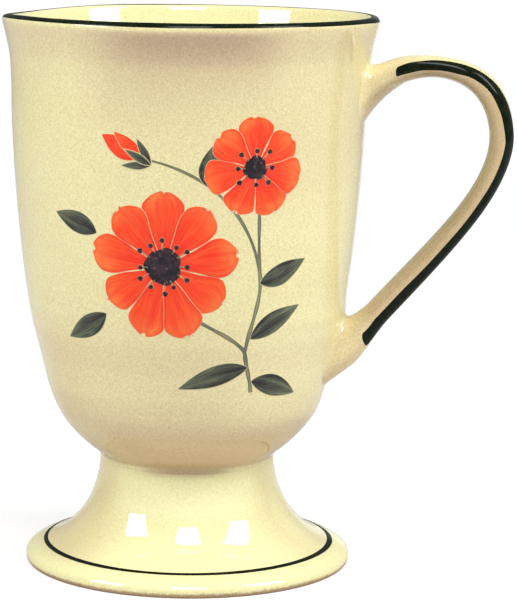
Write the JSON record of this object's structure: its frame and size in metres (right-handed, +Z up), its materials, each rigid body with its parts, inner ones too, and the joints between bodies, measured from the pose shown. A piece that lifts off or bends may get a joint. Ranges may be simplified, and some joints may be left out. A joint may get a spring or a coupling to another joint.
{
  "type": "footed mug",
  "caption": "Tall ceramic mug with a flared lip, a trumpet-shaped foot and a high-arched strap handle, banded in dark green and painted with a flower spray.",
  "frame": {"origin": "middle of the foot's standing ring, on the bowl's axis, at the level of the table", "axes": "+Z up along the bowl's axis, +X from the axis through the handle, +Y away from the painted front"},
  "size_m": [0.1197, 0.0874, 0.13],
  "materials": {
    "glaze": "glossy cream glaze with a fine brown speckle, tan where it runs thin",
    "slip": "glossy cream glaze over smoothed slip",
    "line_paint": "glossy dark green-black line under the glaze",
    "petal_paint": "glossy orange-red brushed colour, paler at its edges",
    "centre_paint": "glossy near-black colour",
    "stem_paint": "glossy grey-green brushed colour",
    "leaf_paint": "glossy grey-green brushed colour, dark purple along the veins"
  },
  "bodies": {
    "root": {"bowl": "glaze", "foot": "glaze", "foot_joint": "slip", "handle": "glaze", "upper_handle_joint": "slip", "lower_handle_joint": "slip", "rim_line": "line_paint", "foot_line": "line_paint", "handle_stripe": "line_paint", "spray_petals": "petal_paint", "spray_centre": "centre_paint", "spray_dots": "centre_paint", "spray_stems": "stem_paint", "spray_leaves": "leaf_paint", "spray_calyx": "leaf_paint"}
  },
  "joints": []
}
